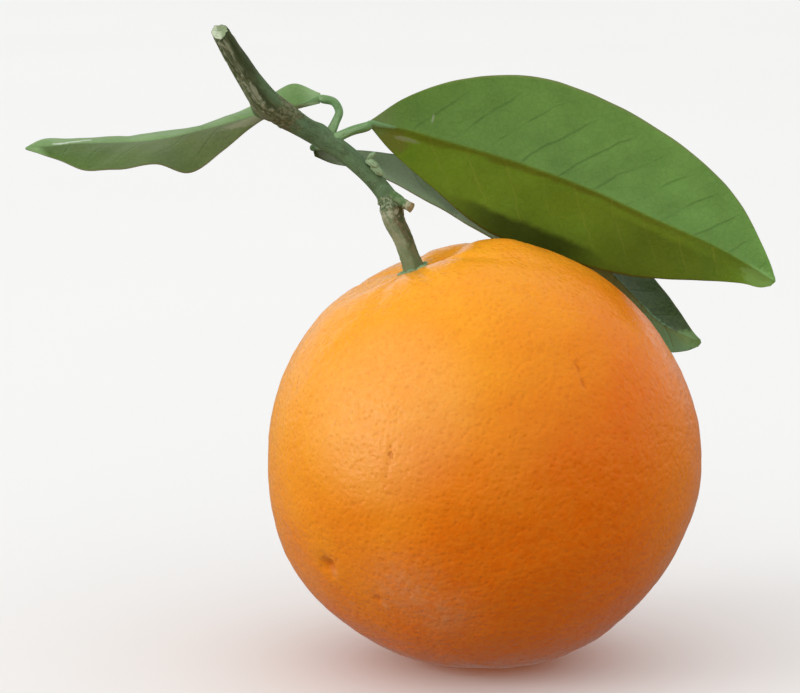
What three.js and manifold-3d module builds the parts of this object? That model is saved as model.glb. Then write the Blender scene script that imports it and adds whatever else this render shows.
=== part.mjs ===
// An orange as picked: the fruit on its stalk, with the clipped twig and its three leaves.
// Millimetres, +Z up. The pieces are laid out from the centre of the fruit, and the whole is
// raised so that the flat spot it rests on is at the origin. The stalk leans towards -X.

import * as THREE from 'three';
import { mergeVertices } from 'three/addons/utils/BufferGeometryUtils.js';
import Module from 'manifold-3d';

const wasm = await Module();
wasm.setup();

const FRUIT_RADIUS = 39;
const CENTRE_HEIGHT = 37.7; // of the fruit's centre above the surface that it rests on
const FRUIT_DETAIL = 11;

const STEM_AXIS = new THREE.Vector3(-0.34, -0.03, 0.94).normalize();
const DIMPLE_DEPTH = 2.3;
const DIMPLE_SPREAD = 13; // degrees from the stem axis
// Low swellings and flats of the rind: the way each faces, its height and its spread in degrees.
const RIND_SHAPE = [
  { towards: [1, 0, -0.04], height: 0.8, spread: 17 },
  { towards: [0.1, 0, 0.995], height: 0.9, spread: 9 },
  { towards: [-0.18, 0, 0.984], height: -1.4, spread: 5 },
  { towards: [-0.55, 0, 0.84], height: -1.3, spread: 8 },
  { towards: [-0.85, 0, -0.53], height: 1.1, spread: 20 },
  { towards: [0.67, 0, -0.74], height: -1.1, spread: 9 },
  { towards: [-0.03, -0.17, -0.98], height: -0.7, spread: 13 },
  { towards: [-0.1, 0.97, -0.2], height: 0.5, spread: 24 },
];

const FIT_GAP = 0.3; // clear space left between neighbouring pieces

const CALYX_LOBES = 5;
const CALYX_RADIUS = 3.2;
const CALYX_WAIST = 2.2;
const CALYX_THICKNESS = 0.7;
const CALYX_LIFT = 0.7; // from the bottom of the dimple to the calyx's underside
const CALYX_STEPS = 60;

const BLADE_THICKNESS = 0.5;
const BLADE_STEPS_ALONG = 22;
const BLADE_STEPS_ACROSS = 8;
const BLADE_CAMBER = 0.6;

const STEM_SIDES = 14;
const STEM_STEP = 2.2; // length of one ring-to-ring stretch of a stem

// Routes: x, y, z and the radius there.
const TWIG_ROUTE = [
  [-47.5, -8, 79, 1.5],
  [-43.5, -3.2, 71.4, 1.9],
  [-39.2, 0, 64.6, 2.4],
  [-36.3, 1.5, 62.3, 2.3],
  [-31.4, 2.9, 59, 1.9],
  [-25, 2.5, 55, 1.75],
  [-19.2, 1.2, 49.7, 1.6],
  [-16.8, 0.2, 46.5, 1.85],
  [-16.5, 0, 45.4, 2.15],
];
const STALK_ROUTE = [
  [-16.6, -0.1, 45, 2.2],
  [-16.05, -0.3, 43.1, 1.95],
  [-14.6, -0.5, 40.2, 1.78],
  [-13.3, -0.9, 36.7, 1.75],
];
const SPUR_ROUTE = [
  [-17.2, 0.4, 47.3, 1.7],
  [-15.6, -0.7, 46.9, 1.15],
  [-14.3, -1.6, 46.3, 0.85],
  [-13, -2.5, 45.7, 0.9],
];
const BUD_ROUTE = [
  [-21, 1.8, 53.3, 0.8],
  [-20.2, 0.6, 53.3, 1.1],
  [-19, 0.2, 52.3, 1],
  [-18.1, 0.5, 51.3, 0.7],
];

// A leaf stalk starts inside the twig and is then cut clear of it.
const LARGE_PETIOLE_ROUTE = [
  [-27.6, 2.4, 57, 1.2],
  [-25.6, 3.5, 58, 0.9],
  [-23.5, 4.7, 58.8, 0.85],
  [-20.8, 5.4, 59.5, 0.85],
];
const LEFT_PETIOLE_ROUTE = [
  [-28.1, 4.2, 57.2, 1.15],
  [-26.7, 5.4, 60.1, 0.8],
  [-26, 6.5, 62, 0.75],
  [-26.9, 7.6, 63.6, 0.75],
  [-28.9, 8.5, 64.1, 0.8],
];
const BACK_PETIOLE_ROUTE = [
  [-29, 3.6, 56.2, 0.9],
  [-29.3, 6, 56, 0.8],
  [-29.6, 8, 55.6, 0.75],
  [-30, 9.6, 55.2, 0.6],
];

// Ribs of each blade from its base to its tip: the far margin, the midrib and the near margin.
const LARGE_LEAF_RIBS = [
  [[-20.2, 5.8, 60.6], [-20.2, 5.6, 59.9], [-20.2, 5.8, 59.1]],
  [[-14, 9.5, 64.2], [-15, 6.5, 59], [-16.5, 8, 54.5]],
  [[-3, 15.5, 67.2], [-6.5, 7.5, 56.5], [-9, 11.5, 47.5]],
  [[10, 20, 67], [5, 8.5, 53], [0.5, 13.5, 39.5]],
  [[25, 21.5, 61.6], [18.5, 9.5, 48], [13.5, 17, 34]],
  [[38.6, 20.5, 53.2], [31.5, 10, 42], [27.5, 17, 30.4]],
  [[47.5, 17.5, 44.4], [42.5, 10.5, 37], [40.5, 14.5, 29.9]],
  [[51.5, 14.5, 36.8], [49.5, 11, 33], [48, 13, 29.7]],
  [[53, 12.6, 33.4], [52.6, 11.4, 31], [51.2, 12.3, 29]],
  [[53.8, 11.9, 31], [53.9, 11.5, 30.2], [53.1, 11.8, 29.3]],
];
const LEFT_LEAF_RIBS = [
  [[-29.5, 9.3, 65.1], [-29.5, 8.9, 64.2], [-29.5, 8.5, 63.3]],
  [[-34.5, 12.3, 66.5], [-33, 8, 63.1], [-33.2, 7.2, 62.5]],
  [[-40.5, 14, 63.2], [-40.5, 6.5, 61.3], [-39.5, 4.5, 60.9]],
  [[-46.5, 16, 60], [-47.5, 5.5, 59.5], [-46.5, -1.5, 56]],
  [[-53, 16, 57.9], [-53.5, 5, 58], [-52.5, -5, 52.2]],
  [[-59, 15.5, 57.3], [-59, 5, 56.9], [-58, -7, 54.1]],
  [[-66, 14, 56.5], [-66, 4.9, 56.4], [-65, -7, 53.2]],
  [[-74, 11, 56.5], [-73, 3.9, 56.4], [-71, -5, 52.7]],
  [[-79, 6.5, 57.2], [-78.5, 2.6, 56], [-76.5, -1.2, 54.5]],
  [[-81.9, 2.2, 56.2], [-82.2, 1.7, 55.9], [-81.6, 1.2, 55.6]],
];
const BACK_LEAF_RIBS = [
  [[-30.5, 12.5, 56.4], [-30.8, 10.7, 55], [-30.5, 9.2, 53.6]],
  [[-29, 17, 54.8], [-27.8, 12, 54.4], [-28, 8.6, 52.6]],
  [[-21.5, 23, 52.7], [-21.5, 14.5, 53.9], [-20.5, 8.5, 50.7]],
  [[-11.5, 29, 50.5], [-12.5, 19, 52], [-12.5, 10, 46.6]],
  [[-0.5, 34, 48], [-2.5, 23.5, 48], [-4.5, 13.5, 41.5]],
  [[12, 36.5, 43.5], [8.5, 26, 41.8], [4, 18, 36]],
  [[24, 36, 37], [19.5, 26.5, 34.5], [13.5, 24.5, 28.5]],
  [[32.6, 29, 28.6], [28, 24, 26.4], [24.5, 24.5, 20]],
  [[37.3, 22.5, 22.9], [33.5, 19.8, 21.2], [32, 19, 16]],
  [[39.5, 17.6, 19.8], [38, 16.5, 19.2], [38, 14.8, 16.7]],
  [[40.6, 15.4, 18.8], [40.8, 15, 18.2], [40.2, 14.7, 17.5]],
];

// The clipped end is cut aslant, facing up and forward.
const CUT_POINT = new THREE.Vector3(-46.4, -7.2, 77.4);
const CUT_NORMAL = new THREE.Vector3(-0.25, -0.75, 0.6).normalize();

function solidFrom(geometry) {
  const bare = geometry.clone();
  bare.deleteAttribute('normal');
  bare.deleteAttribute('uv');
  const merged = mergeVertices(bare);
  return new wasm.Manifold(new wasm.Mesh({
    numProp: 3,
    vertProperties: new Float32Array(merged.attributes.position.array),
    triVerts: new Uint32Array(merged.index.array),
  }));
}

function geometryFrom(solid) {
  const mesh = solid.getMesh();
  const geometry = new THREE.BufferGeometry();
  geometry.setAttribute('position', new THREE.BufferAttribute(mesh.vertProperties, 3));
  geometry.setIndex(new THREE.BufferAttribute(mesh.triVerts, 1));
  geometry.computeVertexNormals();
  return geometry;
}

function cutAway(geometry, tool) {
  return geometryFrom(solidFrom(geometry).subtract(solidFrom(tool)));
}

// A block that fills the space on the side of a plane that its normal points to.
function blockBeyond(point, normal, size) {
  const block = new THREE.BoxGeometry(size, size, size);
  block.translate(0, 0, size / 2);
  block.applyQuaternion(new THREE.Quaternion().setFromUnitVectors(new THREE.Vector3(0, 0, 1), normal));
  return block.translate(point.x, point.y, point.z);
}

function moveVertices(geometry, place) {
  const position = geometry.attributes.position;
  const vertex = new THREE.Vector3();
  for (let i = 0; i < position.count; i += 1) {
    vertex.fromBufferAttribute(position, i);
    position.setXYZ(i, ...place(vertex).toArray());
  }
  geometry.computeVertexNormals();
  return geometry;
}

function bell(angle, spreadDegrees) {
  return Math.exp(-((angle / THREE.MathUtils.degToRad(spreadDegrees)) ** 2));
}

function rindRadius(direction) {
  let radius = FRUIT_RADIUS - DIMPLE_DEPTH * bell(direction.angleTo(STEM_AXIS), DIMPLE_SPREAD);
  for (const { towards, height, spread } of RIND_SHAPE) {
    radius += height * bell(direction.angleTo(new THREE.Vector3(...towards)), spread);
  }
  return radius;
}

function fruitGeometry() {
  const sphere = new THREE.IcosahedronGeometry(1, FRUIT_DETAIL);
  const rind = moveVertices(sphere, (vertex) => {
    const direction = vertex.normalize();
    return direction.clone().multiplyScalar(rindRadius(direction));
  });
  const lowest = new THREE.Vector3(0, 0, -CENTRE_HEIGHT);
  const ground = blockBeyond(lowest, new THREE.Vector3(0, 0, -1), 4 * FRUIT_RADIUS);
  return cutAway(rind, ground);
}

// A round stem along a smooth route, with a radius given at each point of the route.
function stemGeometry(route, swell = 0) {
  const curve = new THREE.CatmullRomCurve3(route.map(([x, y, z]) => new THREE.Vector3(x, y, z)));
  const steps = Math.ceil(curve.getLength() / STEM_STEP);
  const { normals, binormals } = curve.computeFrenetFrames(steps);
  const radiusAt = (u) => {
    const place = curve.getUtoTmapping(u) * (route.length - 1);
    const before = Math.min(Math.floor(place), route.length - 2);
    return THREE.MathUtils.lerp(route[before][3], route[before + 1][3], place - before);
  };
  const cylinder = new THREE.CylinderGeometry(1, 1, 1, STEM_SIDES, steps);
  return moveVertices(cylinder, (vertex) => {
    const ring = Math.round((vertex.y + 0.5) * steps);
    const radius = radiusAt(ring / steps) + swell;
    return curve.getPointAt(ring / steps)
      .addScaledVector(binormals[ring], vertex.x * radius)
      .addScaledVector(normals[ring], vertex.z * radius);
  });
}

function twigGeometry() {
  const beyondCut = blockBeyond(CUT_POINT, CUT_NORMAL, FRUIT_RADIUS);
  return cutAway(stemGeometry(TWIG_ROUTE), beyondCut);
}

// A stem that grows out of the twig, cut back so that it stands clear of it.
function sideStemGeometry(route) {
  return cutAway(stemGeometry(route), stemGeometry(TWIG_ROUTE, FIT_GAP));
}

function railCurve(ribs, side) {
  return new THREE.CatmullRomCurve3(ribs.map((rib) => new THREE.Vector3(...rib[side])));
}

// A leaf blade is a thin box laid on the surface that its three lengthwise curves span.
// Along the box runs from the base to the tip, and across it from the near margin to the far one.
function bladeGeometry(ribs) {
  const [far, midrib, near] = [0, 1, 2].map((side) => railCurve(ribs, side));
  const spanned = (along, across) => {
    const margin = across > 0 ? far : near;
    return midrib.getPoint(along).lerp(margin.getPoint(along), Math.abs(across));
  };
  const normalAt = (along, across) => {
    const nudge = 0.01;
    const start = Math.max(along - nudge, 0);
    const end = Math.min(along + nudge, 1);
    const low = Math.max(across - nudge, -1);
    const high = Math.min(across + nudge, 1);
    const lengthwise = spanned(end, across).sub(spanned(start, across));
    const crosswise = spanned(along, high).sub(spanned(along, low));
    return lengthwise.cross(crosswise).normalize();
  };
  const box = new THREE.BoxGeometry(1, 2, 1, BLADE_STEPS_ALONG, BLADE_STEPS_ACROSS, 1);
  return moveVertices(box, (vertex) => {
    const along = vertex.x + 0.5;
    const across = vertex.y;
    const bulge = BLADE_CAMBER * Math.sin(Math.PI * along) * Math.sin(Math.PI * Math.abs(across));
    const offset = vertex.z * BLADE_THICKNESS - bulge;
    return spanned(along, across).addScaledVector(normalAt(along, across), offset);
  });
}

function calyxGeometry() {
  const rim = Array.from({ length: CALYX_STEPS }, (_, step) => {
    const turn = (step / CALYX_STEPS) * 2 * Math.PI;
    const lobe = (1 + Math.cos(CALYX_LOBES * turn)) / 2;
    const radius = THREE.MathUtils.lerp(CALYX_WAIST, CALYX_RADIUS, lobe);
    return new THREE.Vector2(radius * Math.cos(turn), radius * Math.sin(turn));
  });
  const outline = new THREE.Shape(rim);
  const plate = new THREE.ExtrudeGeometry(outline, { depth: CALYX_THICKNESS, bevelEnabled: false });
  const foot = STEM_AXIS.clone().multiplyScalar(FRUIT_RADIUS - DIMPLE_DEPTH + CALYX_LIFT);
  plate.applyQuaternion(new THREE.Quaternion().setFromUnitVectors(new THREE.Vector3(0, 0, 1), STEM_AXIS));
  return plate.translate(foot.x, foot.y, foot.z);
}

function piece(name, geometry, color, roughness) {
  const material = new THREE.MeshStandardMaterial({ color, roughness, metalness: 0 });
  const mesh = new THREE.Mesh(geometry, material);
  mesh.name = name;
  return mesh;
}

const fruit = new THREE.Group();
fruit.add(piece('fruit', fruitGeometry(), 0xe8841c, 0.45));
fruit.add(piece('calyx', calyxGeometry(), 0x5c8a58, 0.7));

const stems = new THREE.Group();
stems.add(piece('fruit_stalk', stemGeometry(STALK_ROUTE), 0x7d8468, 0.8));
stems.add(piece('twig', twigGeometry(), 0x55754e, 0.75));
stems.add(piece('side_spur', sideStemGeometry(SPUR_ROUTE), 0x75705a, 0.85));
stems.add(piece('axillary_bud', sideStemGeometry(BUD_ROUTE), 0x86a583, 0.7));

const leaves = new THREE.Group();
leaves.add(piece('large_leaf', bladeGeometry(LARGE_LEAF_RIBS), 0x5f8c47, 0.55));
leaves.add(piece('large_leaf_petiole', sideStemGeometry(LARGE_PETIOLE_ROUTE), 0x6b9257, 0.6));
leaves.add(piece('left_leaf', bladeGeometry(LEFT_LEAF_RIBS), 0x64924f, 0.5));
leaves.add(piece('left_leaf_petiole', sideStemGeometry(LEFT_PETIOLE_ROUTE), 0x6b9257, 0.6));
leaves.add(piece('back_leaf', bladeGeometry(BACK_LEAF_RIBS), 0x46663a, 0.4));
leaves.add(piece('back_leaf_petiole', sideStemGeometry(BACK_PETIOLE_ROUTE), 0x6b9257, 0.6));

const orange = new THREE.Group();
orange.add(fruit, stems, leaves);
orange.position.z = CENTRE_HEIGHT;

export default orange;
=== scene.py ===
"""The looks of an orange as picked: its fruit, calyx, stalk, clipped twig and three leaves.

Shapes are worked out in millimetres from the centre of the fruit, as the CAD part's are, and put
into metres in the frame when a mesh is made. Every random-looking detail comes from fixed noise.
"""

import math

import bmesh
import bpy
import numpy as np
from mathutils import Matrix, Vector, noise


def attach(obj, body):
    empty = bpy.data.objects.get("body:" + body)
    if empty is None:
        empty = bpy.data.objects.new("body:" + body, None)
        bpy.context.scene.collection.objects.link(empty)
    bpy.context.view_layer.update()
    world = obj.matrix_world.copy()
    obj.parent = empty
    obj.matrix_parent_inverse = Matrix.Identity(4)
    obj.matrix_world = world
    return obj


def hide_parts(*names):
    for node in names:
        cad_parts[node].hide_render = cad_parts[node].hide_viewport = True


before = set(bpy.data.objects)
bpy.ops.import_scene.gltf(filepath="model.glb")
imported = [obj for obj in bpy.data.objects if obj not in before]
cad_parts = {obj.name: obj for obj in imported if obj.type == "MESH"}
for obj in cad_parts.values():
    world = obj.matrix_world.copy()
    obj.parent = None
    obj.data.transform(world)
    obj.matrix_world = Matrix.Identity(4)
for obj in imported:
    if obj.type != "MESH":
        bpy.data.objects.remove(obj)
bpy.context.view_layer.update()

MM = 0.001


def unit(vector):
    """The vector, or each row of an array of them, at length 1."""
    vector = np.asarray(vector, float)
    return vector / np.linalg.norm(vector, axis=-1, keepdims=True)


# ---- driving dimensions, millimetres

CENTRE_HEIGHT = 37.7  # of the fruit's centre above the surface that it rests on
FRUIT_RADIUS = 39.0
FRUIT_CELLS = 126  # along each edge of the cube that is blown up into the fruit

STEM_AXIS = unit((-0.34, -0.03, 0.94))  # from the fruit's centre to its stalk
STEM_SIDE = unit(np.cross(STEM_AXIS, (0, 1, 0)))
STEM_FRONT = np.cross(STEM_AXIS, STEM_SIDE)
DIMPLE_DEPTH = 2.3
DIMPLE_SPREAD = 13.0  # degrees from the stem axis

# Low swellings and flats of the rind: the way each faces, its height and its spread in degrees.
RIND_SHAPE = (
    ((1, 0, -0.04), 0.8, 17),
    ((0.1, 0, 0.995), 0.9, 9),
    ((-0.18, 0, 0.984), -1.4, 5),
    ((-0.55, 0, 0.84), -1.3, 8),
    ((-0.85, 0, -0.53), 1.1, 20),
    ((0.67, 0, -0.74), -1.1, 9),
    ((-0.03, -0.17, -0.98), -0.7, 13),
    ((-0.1, 0.97, -0.2), 0.5, 24),
)

FURROWS = 7  # shallow folds that run outwards from the stalk
FURROW_DEPTH = 0.45
FURROW_START = 9.0  # degrees from the stem axis where the folds are deepest
FURROW_REACH = 22.0  # degrees over which they fade

# Dents in the rind: the way each faces, its depth and its radius.
PITS = (
    ((-0.709, -0.595, -0.379), 1.0, 1.5),
    ((-0.483, -0.715, -0.506), 0.5, 0.7),
    ((0.241, -0.738, 0.63), 0.2, 0.5),
    ((0.397, -0.724, 0.565), 0.2, 0.4),
)

# Cracks in the rind, from the way that one end faces to the way of the other.
SCARS = (
    ((0.397, -0.724, 0.565), (0.431, -0.77, 0.47)),
    ((-0.415, -0.88, 0.232), (-0.442, -0.892, 0.1)),
)
SCAR_DEPTH = 0.25
SCAR_HALF_WIDTH = 0.35

# Pale, scuffed patches and spots, and in the last row a painted highlight in the furrow beside the stalk:
# the way each faces, its radius and its strength.
SCUFFS_AND_HIGHLIGHT = (
    ((-0.362, -0.823, -0.437), 6.5, 0.85),
    ((-0.207, -0.813, -0.545), 6.0, 0.75),
    ((-0.682, -0.603, -0.414), 0.8, 1.2),
    ((-0.447, -0.714, -0.538), 0.9, 1.2),
    ((-0.602, -0.567, -0.562), 0.6, 0.9),
    ((-0.184, -0.796, -0.577), 0.6, 1.1),
    # a painted highlight in the furrow beside the stalk
    ((-0.20, -0.20, 0.96), 1.8, 1.0),
)

# Unevenness of the whole rind: the height of its bumps and their size.
RIND_BUMPS = ((0.28, 17), (0.1, 5), (0.045, 1.9))
PORE_SPACING = 1.05
PORE_DEPTH = 0.08
LIT_SIDE_WAY = (-0.64, 0.0, 0.77)  # the side of the fruit that is yellower and lighter than the rest: partly the rind's own colour, partly painted light from the upper left
PAINTED_HIGHLIGHT_WAY = (-0.47, -0.79, 0.38)  # the middle of a painted highlight: a paler, peach-coloured patch where the window's sheen falls on the rind

# Routes of the stems: x, y, z and the radius there.
TWIG_ROUTE = (
    (-47.5, -8, 79, 1.5),
    (-43.5, -3.2, 71.4, 1.9),
    (-39.2, 0, 64.6, 2.4),
    (-36.3, 1.5, 62.3, 2.3),
    (-31.4, 2.9, 59, 1.9),
    (-25, 2.5, 55, 1.75),
    (-19.2, 1.2, 49.7, 1.6),
    (-16.8, 0.2, 46.5, 1.85),
    (-16.5, 0, 45.4, 2.15),
    (-16.3, -0.1, 44.3, 1.95),
)
STALK_ROUTE = (
    (-16.6, 0, 45.4, 2.2),
    (-16.05, -0.3, 43.1, 1.95),
    (-14.6, -0.5, 40.2, 1.78),
    (-13.3, -0.9, 36.7, 1.8),
    (-12.4, -1.1, 34.2, 2),
)
SPUR_ROUTE = (
    (-17.2, 0.4, 47.3, 1.7),
    (-15.6, -0.7, 46.9, 1.15),
    (-14.3, -1.6, 46.3, 0.85),
    (-13, -2.5, 45.7, 0.9),
)
BUD_SCALE_ROUTES = (
    ((-21, 0.9, 53.6, 0.35), (-20.3, 0.3, 53.5, 0.65), (-19.5, 0.1, 53, 0.65), (-18.9, 0.2, 52.5, 0.35)),
    ((-20.1, 0.7, 52.7, 0.4), (-19.3, 0.3, 52.3, 0.7), (-18.6, 0.2, 51.7, 0.6), (-18, 0.4, 51.1, 0.25)),
    ((-20.9, 0.6, 53.7, 0.15), (-20.4, 0.5, 54.4, 0.42), (-19.9, 0.5, 54.9, 0.42), (-19.4, 0.5, 55.3, 0.1)),
)
LARGE_PETIOLE_ROUTE = (
    (-27.6, 2.4, 57, 1.2),
    (-25.6, 3.5, 58, 0.9),
    (-23.5, 4.7, 58.8, 0.85),
    (-20.8, 5.4, 59.5, 0.85),
)
LEFT_PETIOLE_ROUTE = (
    (-28.1, 4.2, 57.2, 1.15),
    (-26.7, 5.4, 60.1, 0.8),
    (-26, 6.5, 62, 0.75),
    (-26.9, 7.6, 63.6, 0.75),
    (-28.9, 8.5, 64.1, 0.8),
)
BACK_PETIOLE_ROUTE = (
    (-29, 3.6, 56.2, 0.9),
    (-29.3, 6, 56, 0.8),
    (-29.6, 8, 55.6, 0.75),
    (-30, 9.6, 55.2, 0.6),
)
STEM_SIDES = 48
STEM_STEP = 0.2
STEM_SHARP_ANGLE = 48  # degrees, from which an edge looks sharp
CAP_RINGS = 7
CAP_ROUGHNESS = 0.05

NODE_PLACE = 23.3  # along the twig from its cut end, where the old bark ends in a rough swelling
COLLAR_PLACE = 48.6  # along the twig, where it meets the fruit's stalk
# Bumps on the twig: how far along it, the degrees round from its upper side, the height and the size.
TWIG_BUMPS = (
    (19.4, 195, 1.0, 1.5),
    (25.9, 25, 0.55, 0.45),
    (30.5, 340, 0.5, 1.6),
    (46.2, 60, 0.35, 0.8),
    (47.6, 170, 0.4, 0.7),
)

# How a leaf stalk runs on into its blade: the share of the way to its second rib, and the radius.
MIDRIB_TAPER = ((0.0, 0.65), (0.35, 0.5), (0.8, 0.3), (1.3, 0.12))

CUT_POINT = np.array((-46.4, -7.2, 77.4))  # on the slanting face where the twig was clipped
CUT_NORMAL = unit((-0.25, -0.75, 0.6))
CUT_BLEND = 3.0  # length of twig over which the slant of the cut dies away

# Ribs of each blade from its base to its tip: the far margin, the midrib and the near margin.
LARGE_LEAF_RIBS = (
    ((-20.2, 5.8, 60.6), (-20.2, 5.6, 59.9), (-20.2, 5.8, 59.1)),
    ((-14, 9.5, 64.2), (-15, 6.5, 59), (-16.5, 8, 54.5)),
    ((-3, 15.5, 67.2), (-6.5, 7.5, 56.5), (-9, 11.5, 47.5)),
    ((10, 20, 67), (5, 8.5, 53), (0.5, 13.5, 39.5)),
    ((25, 21.5, 61.6), (18.5, 9.5, 48), (13.5, 17, 34)),
    ((38.6, 20.5, 53.2), (31.5, 10, 42), (27.5, 17, 30.4)),
    ((47.5, 17.5, 44.4), (42.5, 10.5, 37), (40.5, 14.5, 29.9)),
    ((51.5, 14.5, 36.8), (49.5, 11, 33), (48, 13, 29.7)),
    ((53, 12.6, 33.4), (52.6, 11.4, 31), (51.2, 12.3, 29)),
    ((53.8, 11.9, 31), (53.9, 11.5, 30.2), (53.1, 11.8, 29.3)),
)
LEFT_LEAF_RIBS = (
    ((-29.5, 9.3, 65.1), (-29.5, 8.9, 64.2), (-29.5, 8.5, 63.3)),
    ((-34.5, 12.3, 66.5), (-33, 8, 63.1), (-33.2, 7.2, 62.5)),
    ((-40.5, 14, 63.2), (-40.5, 6.5, 61.3), (-39.5, 4.5, 60.9)),
    ((-46.5, 16, 60), (-47.5, 5.5, 59.5), (-46.5, -1.5, 56)),
    ((-53, 16, 57.9), (-53.5, 5, 58), (-52.5, -5, 52.2)),
    ((-59, 15.5, 57.3), (-59, 5, 56.9), (-58, -7, 54.1)),
    ((-66, 14, 56.5), (-66, 4.9, 56.4), (-65, -7, 53.2)),
    ((-74, 11, 56.5), (-73, 3.9, 56.4), (-71, -5, 52.7)),
    ((-79, 6.5, 57.2), (-78.5, 2.6, 56), (-76.5, -1.2, 54.5)),
    ((-81.9, 2.2, 56.2), (-82.2, 1.7, 55.9), (-81.6, 1.2, 55.6)),
)
BACK_LEAF_RIBS = (
    ((-30.5, 12.5, 56.4), (-30.8, 10.7, 55), (-30.5, 9.2, 53.6)),
    ((-29, 17, 54.8), (-27.8, 12, 54.4), (-28, 8.6, 52.6)),
    ((-21.5, 23, 52.7), (-21.5, 14.5, 53.9), (-20.5, 8.5, 50.7)),
    ((-11.5, 29, 50.5), (-12.5, 19, 52), (-12.5, 10, 46.6)),
    ((-0.5, 34, 48), (-2.5, 23.5, 48), (-4.5, 13.5, 41.5)),
    ((12, 36.5, 43.5), (8.5, 26, 41.8), (4, 18, 36)),
    ((24, 36, 37), (19.5, 26.5, 34.5), (13.5, 24.5, 28.5)),
    ((32.6, 29, 28.6), (28, 24, 26.4), (24.5, 24.5, 20)),
    ((37.3, 22.5, 22.9), (33.5, 19.8, 21.2), (32, 19, 16)),
    ((39.5, 17.6, 19.8), (38, 16.5, 19.2), (38, 14.8, 16.7)),
    ((40.6, 15.4, 18.8), (40.8, 15, 18.2), (40.2, 14.7, 17.5)),
)
BLADE_ROWS = 200
BLADE_COLUMNS = 56
BLADE_THICKNESS = 0.34
BLADE_CAMBER = 0.6
CREASE_ROUNDING = 0.05  # of the fold along the midrib, as a share of the half width

VEIN_SPACING = 6.9
VEIN_START = -2.45  # where the first side vein would leave the midrib, from the base of the blade
VEIN_SWEEP = 0.55  # how far a side vein runs towards the tip for each millimetre away from the midrib
VEIN_CURL = 0.01  # how much more it turns towards the tip near the margin
VEIN_WIDTH = 0.45
VEIN_RELIEF = 0.05
MIDRIB_WIDTH = 0.5
MIDRIB_HEIGHT = 0.12
MIDRIB_SUNK = 0.4  # its depth in the upper side, as a share of its height below
VEIN_SUNK = 0.6
QUILTING = 0.09  # height of the swell between two side veins
GLOW_SHARE = 0.3  # of the light on a blade that comes out of its other side

CALYX_LOBES = 5
CALYX_RADIUS = 3.3
CALYX_WAIST = 2.3
CALYX_THICKNESS = 0.45
CALYX_LIFT = 0.35
CALYX_RINGS = 14
CALYX_SPOKES = 140

# ---- curves and noise


def smooth_path(points, places):
    """Places along the centripetal curve through the points, where 0 is the first point and 1 the last.

    The first three columns of the points are their position. Any further ones go along with it.
    """
    points = np.asarray(points, float)
    ends = np.vstack((2 * points[0] - points[1], points, 2 * points[-1] - points[-2]))
    spans = len(points) - 1
    start = np.minimum((places * spans).astype(int), spans - 1)
    part = (places * spans - start)[:, None]
    before, first, second, after = (ends[start + k] for k in range(4))

    def knot_gap(one, other):
        return np.sqrt(np.linalg.norm((other - one)[:, :3], axis=1))[:, None]

    gap_in, gap, gap_out = knot_gap(before, first), knot_gap(first, second), knot_gap(second, after)
    step = (second - first) / gap
    leaving = gap * ((first - before) / gap_in - (second - before) / (gap_in + gap) + step)
    arriving = gap * (step - (after - first) / (gap + gap_out) + (after - second) / gap_out)
    rise = second - first
    bend = 3 * rise - 2 * leaving - arriving
    twist = leaving + arriving - 2 * rise
    return first + part * (leaving + part * (bend + part * twist))


def travelled_along(line):
    """The distance along a line of points to each of them."""
    steps = np.linalg.norm(np.diff(line[:, :3], axis=0), axis=1)
    return np.concatenate(((0,), np.cumsum(steps)))


def ripple(places, size, layers=2):
    """Repeatable random heights, from about -1 to 1, whose bumps have the given size along each axis.

    A number added to all the places gives bumps that are elsewhere.
    """
    scaled = np.asarray(places, float).reshape(-1, 3) / size
    heights = [noise.fractal(Vector(place), 1.0, 2.0, layers) for place in scaled]
    return np.array(heights).reshape(np.shape(places)[:-1])


def bell(distance, spread):
    return np.exp(-((distance / spread) ** 2))


# ---- pieces


def add_object(name, data):
    made = bpy.data.objects.new(name, data)
    bpy.context.scene.collection.objects.link(made)
    return made


def make_piece(node, slot, material, vertices, faces, sharp_angle=None, **attributes):
    """A smooth mesh that stands for a CAD node, given in millimetres from the fruit's centre."""
    mesh = bpy.data.meshes.new("detailed_" + node)
    lifted = (np.asarray(vertices) + (0, 0, CENTRE_HEIGHT)) * MM
    mesh.from_pydata(lifted.tolist(), [], faces)
    for name, values in attributes.items():
        is_vector = values.ndim == 2
        made = mesh.attributes.new(name, "FLOAT_VECTOR" if is_vector else "FLOAT", "POINT")
        made.data.foreach_set("vector" if is_vector else "value", values.ravel())
    mesh.shade_smooth()
    if sharp_angle:
        mesh.set_sharp_from_angle(angle=math.radians(sharp_angle))
    mesh.materials.append(material)
    piece = add_object(mesh.name, mesh)
    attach(piece, "root")
    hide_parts(node)


def ring_rows(rings, sides, first=0):
    """The numbers of the vertices of each of several rings, which follow one another."""
    return [list(range(start, start + sides)) for start in range(first, first + rings * sides, sides)]


def ring_faces(rows):
    """The quads between each closed ring and the next."""
    faces = []
    for one, other in zip(rows, rows[1:]):
        for side in range(len(one)):
            faces.append((one[side - 1], one[side], other[side], other[side - 1]))
    return faces


# ---- the fruit


def degrees_from(towards, directions):
    """The angle between one way from the fruit's centre and each of the directions."""
    return np.degrees(np.arccos(np.clip(directions @ unit(towards), -1, 1)))


def rind_radius(directions):
    """Distance of the rind from the fruit's centre along each direction, without its finer relief."""
    radius = FRUIT_RADIUS - DIMPLE_DEPTH * bell(degrees_from(STEM_AXIS, directions), DIMPLE_SPREAD)
    for towards, height, spread in RIND_SHAPE:
        radius = radius + height * bell(degrees_from(towards, directions), spread)
    return radius


def furrow_depth(directions):
    """Depth of the folds that run out from the stalk."""
    turn = np.arctan2(directions @ STEM_FRONT, directions @ STEM_SIDE)
    from_stem = degrees_from(STEM_AXIS, directions)
    wander = 0.5 * ripple(directions, 0.5, 1)
    folds = np.clip(np.cos(FURROWS * turn + 4 * wander), 0, 1) ** 3
    fade = bell(from_stem - FURROW_START, FURROW_REACH) * np.clip(from_stem / FURROW_START, 0, 1)
    return FURROW_DEPTH * folds * fade


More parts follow.
